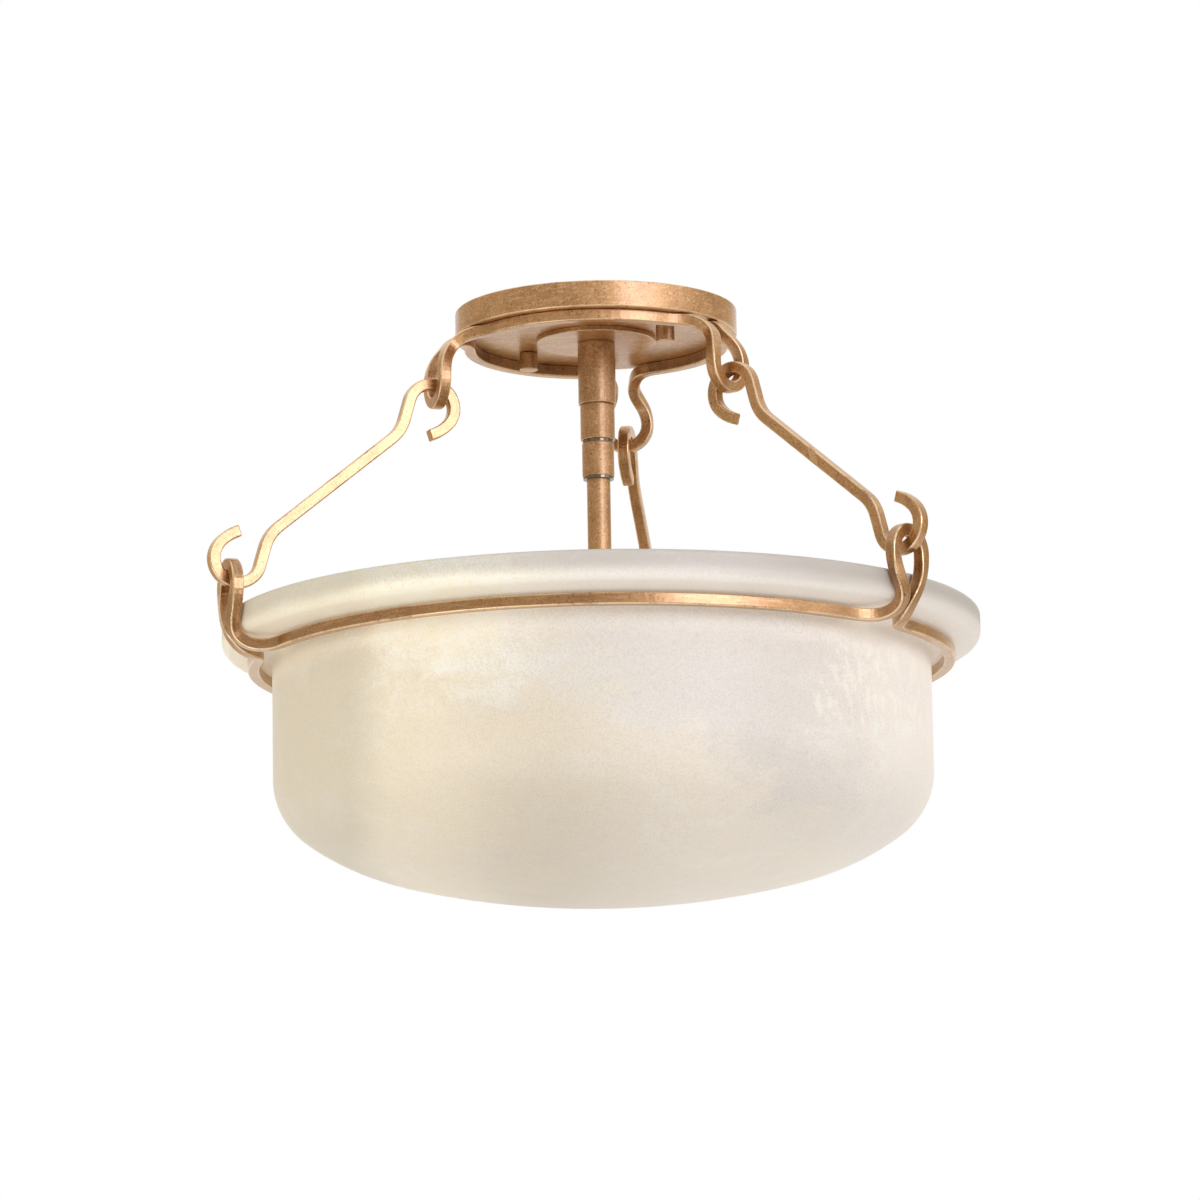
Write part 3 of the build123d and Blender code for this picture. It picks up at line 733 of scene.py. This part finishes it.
rose_stone = (0.800, 0.735, 0.660)
honey_and_glow_stone = (0.860, 0.775, 0.590)
low_left_stone = (0.775, 0.655, 0.480)
low_right_stone = (0.820, 0.725, 0.590)
shaded_stone = (0.700, 0.615, 0.450)
lip_shade_stone = (0.600, 0.550, 0.480)
right_lip_shade_stone = (0.520, 0.470, 0.405)
cloud_white = (0.900, 0.860, 0.790)
fleck_white = (0.930, 0.895, 0.820)
wisp_white = (0.960, 0.930, 0.840)
streak_cream = (0.970, 0.880, 0.760)
fleck_brown = (0.600, 0.530, 0.430)
sand_brown = (0.640, 0.570, 0.460)
black = (0.0, 0.0, 0.0)
streak_lean = radians(28)

stone = Paint("alabaster")
drift = stone.noise(9.0, 4.0, 0.55, warp=0.6)
clouds = stone.noise(30.0, 6.0, 0.62, stone.stretched((1.0, 1.0, 2.0)), 0.7)
flecks = stone.noise(150.0, 5.0, 0.66, stone.stretched((1.0, 1.0, 1.8)), 0.6)
leaning = stone.node("ShaderNodeMapping", {}, {"Vector": stone.coords, "Rotation": (0.0, streak_lean, 0.0)})
streaks = stone.noise(150.0, 4.0, 0.6, stone.stretched((1.4, 1.4, 0.5), leaning), 0.3)
sand = stone.noise(1000.0, 2.0, 0.6)

sideways = stone.node("ShaderNodeSeparateXYZ", {}, {0: stone.coords}, "X")
height = stone.node("ShaderNodeSeparateXYZ", {}, {0: stone.coords}, "Z")
wavy = 0.06 * (clouds - 0.5) + 0.05 * (drift - 0.5)
honey_and_glow = stone.between(sideways + 2.0 * wavy, 20 * mm, -110 * mm)
low_band = stone.between(height + 0.4 * sideways + wavy, -232 * mm, -268 * mm)
low_right = stone.between(sideways, -60 * mm, 70 * mm)
shade = stone.between(sideways + 0.05 * (drift - 0.5), -110 * mm, -138 * mm)
lip = stone.between(height, -184 * mm, -175 * mm)
right_lip_shade = stone.between(sideways, 30 * mm, 150 * mm) * stone.between(height, -188 * mm, -181 * mm)
streaked = stone.between(flecks, 0.50, 0.68) * stone.between(clouds + 0.5 * drift, 0.76, 0.96)
right_patch = stone.between(sideways + wavy, 98 * mm, 118 * mm) * stone.between(height, -262 * mm, -240 * mm)
right_patch = right_patch * stone.between(height, -200 * mm, -210 * mm)
left_patch = stone.between(sideways, -130 * mm, -108 * mm) * stone.between(sideways, -15 * mm, -50 * mm)
left_patch = left_patch * stone.between(height, -255 * mm, -230 * mm)
wisps = stone.between(streaks + 0.8 * clouds, 0.70, 1.16)

# Warmer toward the left: the stone's honey tone, and a painted glow there.
pale = stone.blend(honey_and_glow, rose_stone, honey_and_glow_stone)
pale = stone.blend(0.70 * low_band, pale, stone.blend(low_right, low_left_stone, low_right_stone))
pale = stone.blend(0.45 * shade, pale, shaded_stone)
# Painted shade: the lip is darker than the body, less so where the stone is warm.
pale = stone.blend(0.55 * lip * (1 - 0.8 * honey_and_glow), pale, lip_shade_stone)
pale = stone.blend(0.22 * stone.between(clouds, 0.48, 0.74), pale, cloud_white)
pale = stone.blend(0.12 * streaked, pale, fleck_white)
# Painted shade: the lip's lower corner at the right is darker still, where the key lamp lights it most.
pale = stone.blend(0.60 * right_lip_shade, pale, right_lip_shade_stone)
pale = stone.blend(0.60 * right_patch * stone.between(streaks, 0.50, 0.61), pale, streak_cream)
pale = stone.blend(0.34 * left_patch * wisps, pale, wisp_white)
pale = stone.blend(0.18 * stone.between(flecks, 0.46, 0.30), pale, fleck_brown)
pale = stone.blend(0.50 * stone.between(sand, 0.40, 0.70), pale, sand_brown)

# A faint painted glow stands in for light that comes through the stone, and lifts the
# shade under the ring and at the flange's corner above it. It is stronger toward both sides,
# under the ring and low at the right, and gone from the lip.
under_ring = stone.between(height, -212 * mm, -198 * mm) * stone.between(height, -180 * mm, -188 * mm)
corner_band = stone.between(height, -191 * mm, -188 * mm) * stone.between(height, -177 * mm, -184 * mm)
painted_glow = 0.35 + 0.65 * stone.between(sideways + wavy, -20 * mm, -95 * mm) * (1 - shade)
painted_glow = (painted_glow + 0.60 * stone.between(sideways + wavy, 85 * mm, 165 * mm)) * (1 - lip)
painted_glow = painted_glow * (1 - 0.28 * low_band * (1 - low_right)) + 0.45 * low_band * low_right
painted_glow = painted_glow + 0.42 * under_ring + 0.45 * corner_band * (1 - 0.7 * right_lip_shade)
alabaster = stone.set(
    Base_Color=pale,
    Roughness=0.45,
    Normal=stone.bump(sand, 0.00003, 0.4),
    Emission_Color=stone.blend(painted_glow, black, pale),
    Emission_Strength=0.32,
    Subsurface_Weight=0.5,
    Subsurface_Radius=(1.0, 0.85, 0.65),
    Subsurface_Scale=0.009,
)
finished(bowl.turned(256), "bowl_turned", alabaster, "bowl", "alabaster", "bowl")

# Lamps. Each has a porcelain socket on a threaded nipple from the cluster, a brass
# screw shell inside it, and an ordinary lamp: an aluminium cap cemented on a globe
# of glass frosted white inside. Their axes droop toward the bowl's wall.

lamp_droop = radians(20)
lamp_seat = Matrix.Translation((20 * mm, 0.0, -209 * mm)) @ Matrix.Rotation(pi / 2 + lamp_droop, 4, "Y")
thread_pitch = 2.5 * mm

glaze = Paint("porcelain")
porcelain = glaze.set(
    Base_Color=glaze.blend(glaze.noise(80.0), (0.76, 0.75, 0.72), (0.80, 0.79, 0.77)),
    Roughness=0.22,
    Coat_Weight=0.4,
)
shell = Paint("shell_brass")
shell_brass = shell.set(
    Base_Color=shell.blend(shell.noise(200.0), (0.58, 0.42, 0.17), (0.72, 0.55, 0.26)),
    Metallic=1.0,
    Roughness=0.32,
)
tin = Paint("cap_aluminium")
cap_aluminium = tin.set(
    Base_Color=tin.blend(tin.noise(260.0), (0.60, 0.60, 0.61), (0.74, 0.74, 0.75)),
    Metallic=1.0,
    Roughness=0.36,
)
frost = Paint("frosted_glass")
frosted_glass = frost.set(
    Base_Color=frost.blend(frost.noise(40.0), (0.86, 0.86, 0.85), (0.89, 0.89, 0.88)), Roughness=0.38
)


def through(profile, *points):
    """Lines through the points, each a radius and a distance along the lamp in millimetres."""
    for radius, z in points:
        profile.line(radius * mm, z * mm)
    return profile


def threaded(profile, first, second, first_z, second_z, turns):
    """A screw thread drawn as rings, each turn with a point at the first radius and one at the second."""
    for turn in turns:
        profile.line(first, first_z + thread_pitch * turn)
        profile.line(second, second_z + thread_pitch * turn)
    return profile


def lamp_piece(profile, lamp, name, material, body, slot, node):
    mesh = profile.turned(64)
    place = about_stem(first_arm + arm_spacing / 2 + arm_spacing * (lamp - 1)) @ lamp_seat
    bmesh.ops.transform(mesh, matrix=place, verts=mesh.verts)
    return finished(mesh, f"{name}_{lamp}", material, body, slot, f"{node}_{lamp}")


socket_bore = 4.85
socket_foot_z = 3.3
socket_floor_z = 16
shell_turns = range(11)
cap_turns = range(7)
globe_z = 92 * mm
globe_radius = 30 * mm
globe_inner_radius = 29 * mm
globe_turn = radians(132)
for lamp in (1, 2, 3):
    socket = Profile(socket_bore * mm, socket_foot_z * mm)
    through(socket, (7.4, socket_foot_z)).arc(7.4 * mm, 3.9 * mm, -pi / 2, 3)
    through(socket, (8.0, 10), (16.0, 10)).arc(16.0 * mm, 11.5 * mm, -pi / 2, 5)
    through(socket, (17.5, 49.5)).arc(15.75 * mm, 50.25 * mm, -pi, 8)
    through(socket, (14.0, socket_floor_z), (socket_bore, socket_floor_z), (socket_bore, socket_foot_z))
    lamp_piece(socket, lamp, "lamp_socket_moulded", porcelain, "ceiling_mount", "porcelain", "lamp_socket")

    screw_shell = through(Profile(0.0, socket_floor_z * mm), (13.95, socket_floor_z))
    threaded(screw_shell, 13.95 * mm, 13.45 * mm, 18.0 * mm, 19.25 * mm, shell_turns)
    through(screw_shell, (13.9, 46.5), (13.4, 46.5))
    threaded(screw_shell, 13.25 * mm, 13.55 * mm, 19.25 * mm, 18.0 * mm, reversed(shell_turns))
    through(screw_shell, (13.4, 16.6), (0.0, 16.6))
    lamp_piece(
        screw_shell, lamp, "screw_shell_drawn", shell_brass, "ceiling_mount", "shell_brass", "screw_shell"
    )

    cap = through(Profile(0.0, 16.9 * mm), (4.5, 16.9), (4.8, 18.2), (12.4, 23.5))
    threaded(cap, 12.5 * mm, 13.1 * mm, 24.6 * mm, 25.9 * mm, cap_turns)
    through(cap, (12.8, 43.0), (13.1, 46.9), (12.7, 47), (12.6, 24), (0.0, 24))
    lamp_piece(cap, lamp, "bulb_cap_pressed", cap_aluminium, f"bulb_{lamp}", "cap_aluminium", "bulb_base")

    globe = Profile(0.0, globe_z + globe_radius).arc(0.0, globe_z, globe_turn, 26)
    through(globe, (15.0, 61.0), (13.2, 55.0), (12.7, 50.0), (12.6, 40.0))
    through(globe, (11.6, 40.0), (11.7, 50.0), (12.2, 55.0), (14.0, 61.0))
    globe.line(globe_inner_radius * sin(globe_turn), globe_z + globe_inner_radius * cos(globe_turn))
    globe.arc(0.0, globe_z, -globe_turn, 26)
    lamp_piece(globe, lamp, "bulb_globe_blown", frosted_glass, f"bulb_{lamp}", "frosted_glass", "bulb_glass")

# Studio. A pale floor well below, a white surround, soft lamps to the right and the
# left, and a warm grey card bent round the light that only reflections see.

floor_reach = 6.0
floor_z = -1.6
floor_glow = 0.45
room_light = 0.46


def ray(paint, kind):
    """1 for light paths of this kind, and 0 for others."""
    return paint.node("ShaderNodeLightPath", {}, {}, kind)


class Air(Paint):
    """The world's background and its nodes."""

    def __init__(self, name):
        self.material = bpy.data.worlds.new(name)
        self.material.use_nodes = True
        self.tree = self.material.node_tree
        self.shader = self.tree.nodes["Background"]


floor_mesh = bmesh.new()
floor_place = Matrix.Translation((0.0, 0.0, floor_z))
bmesh.ops.create_grid(floor_mesh, x_segments=1, y_segments=1, size=floor_reach, matrix=floor_place)
floor_data = bpy.data.meshes.new("studio_floor")
floor_mesh.to_mesh(floor_data)
floor_mesh.free()
floor_paint = Paint("studio_floor")
floor_data.materials.append(
    floor_paint.set(
        Base_Color=(0.88, 0.87, 0.86),
        Roughness=0.8,
        Emission_Color=ray(floor_paint, "Is Glossy Ray") + ray(floor_paint, "Is Camera Ray"),
        Emission_Strength=floor_glow,
    )
)
studio_floor = bpy.data.objects.new("studio_floor", floor_data)
bpy.context.scene.collection.objects.link(studio_floor)

air = Air("studio_air")
white = ray(air, "Is Camera Ray").highest(ray(air, "Is Transmission Ray")).highest(ray(air, "Is Glossy Ray"))
bpy.context.scene.world = air.set(Color=(1.0, 1.0, 1.0), Strength=room_light + (1 - room_light) * white)


def staged(thing):
    """Puts a lamp or a card of the studio in the scene, hidden from the camera."""
    bpy.context.scene.collection.objects.link(thing)
    thing.visible_camera = False


def soft_lamp(name, place, aim, width, height, power, colour=(1.0, 1.0, 1.0)):
    light = bpy.data.lights.new(name, "AREA")
    light.shape = "RECTANGLE"
    light.size = width
    light.size_y = height
    light.energy = power
    light.color = colour
    lamp = bpy.data.objects.new(name, light)
    facing = (Vector(aim) - Vector(place)).to_track_quat("-Z", "Y")
    lamp.matrix_world = Matrix.Translation(place) @ facing.to_matrix().to_4x4()
    staged(lamp)
    return lamp


middle = Vector((0.0, 0.0, -0.17))
soft_lamp("key_softbox", (1.06, -1.52, 0.28), middle, 1.05, 0.80, 12.8, (0.82, 0.85, 1.0))
soft_lamp("side_softbox", (1.80, -0.75, 0.28), middle, 1.10, 0.90, 3.0)
soft_lamp("low_left_softbox", (-1.5, -1.5, -1.15), middle, 1.0, 0.6, 6.5, (0.74, 0.86, 1.0))
left_fill = soft_lamp("left_fill", (-2.0, -1.0, -0.1), middle, 1.2, 1.2, 12.0)
left_fill.visible_glossy = False

card_radius = 3.6
card_low = -1.5
card_height = 3.4
card_steps = 60
card_end = radians(150)
card_glow = (0.68, 0.60, 0.47)
card_mesh = bmesh.new()
card_edge = card_mesh.verts.new((-card_radius * sin(card_end), -card_radius * cos(card_end), card_low))
bmesh.ops.spin(
    card_mesh,
    geom=[card_edge],
    cent=(0.0, 0.0, card_low),
    axis=(0.0, 0.0, 1.0),
    angle=2 * card_end,
    steps=card_steps,
)
card_rise = bmesh.ops.extrude_edge_only(card_mesh, edges=card_mesh.edges[:])["geom"]
card_top = [g for g in card_rise if isinstance(g, bmesh.types.BMVert)]
bmesh.ops.translate(card_mesh, verts=card_top, vec=(0.0, 0.0, card_height))
card_data = bpy.data.meshes.new("dark_card")
card_mesh.to_mesh(card_data)
card_mesh.free()
card_paint = Paint("dark_card")
card_data.materials.append(
    card_paint.set(Base_Color=black, Roughness=1.0, Emission_Color=card_glow, Emission_Strength=1.0)
)
dark_card = bpy.data.objects.new("dark_card", card_data)
dark_card.visible_diffuse = False
dark_card.visible_transmission = False
dark_card.visible_shadow = False
staged(dark_card)

# Camera, below the light and looking up at it, as in the photograph.

camera_pitch = 0.188
camera_yaw = -0.0001
camera_roll = -0.0171
camera_place = Matrix.Translation((0.0, -3.22198, -0.77114))
camera_lens = 183.155
ahead = Vector((sin(camera_yaw) * cos(camera_pitch), cos(camera_yaw) * cos(camera_pitch), sin(camera_pitch)))
level = Vector((cos(camera_yaw), -sin(camera_yaw), 0.0))
above = level.cross(ahead)
right = cos(camera_roll) * level + sin(camera_roll) * above
up = -sin(camera_roll) * level + cos(camera_roll) * above
camera_data = bpy.data.cameras.new("camera")
camera_data.sensor_fit = "HORIZONTAL"
camera_data.sensor_width = 36.0
camera_data.lens = camera_lens
camera = bpy.data.objects.new("camera", camera_data)
camera.matrix_world = camera_place @ Matrix((right, up, -ahead)).transposed().to_4x4()
bpy.context.scene.collection.objects.link(camera)
bpy.context.scene.camera = camera
bpy.context.scene.view_settings.view_transform = "Standard"
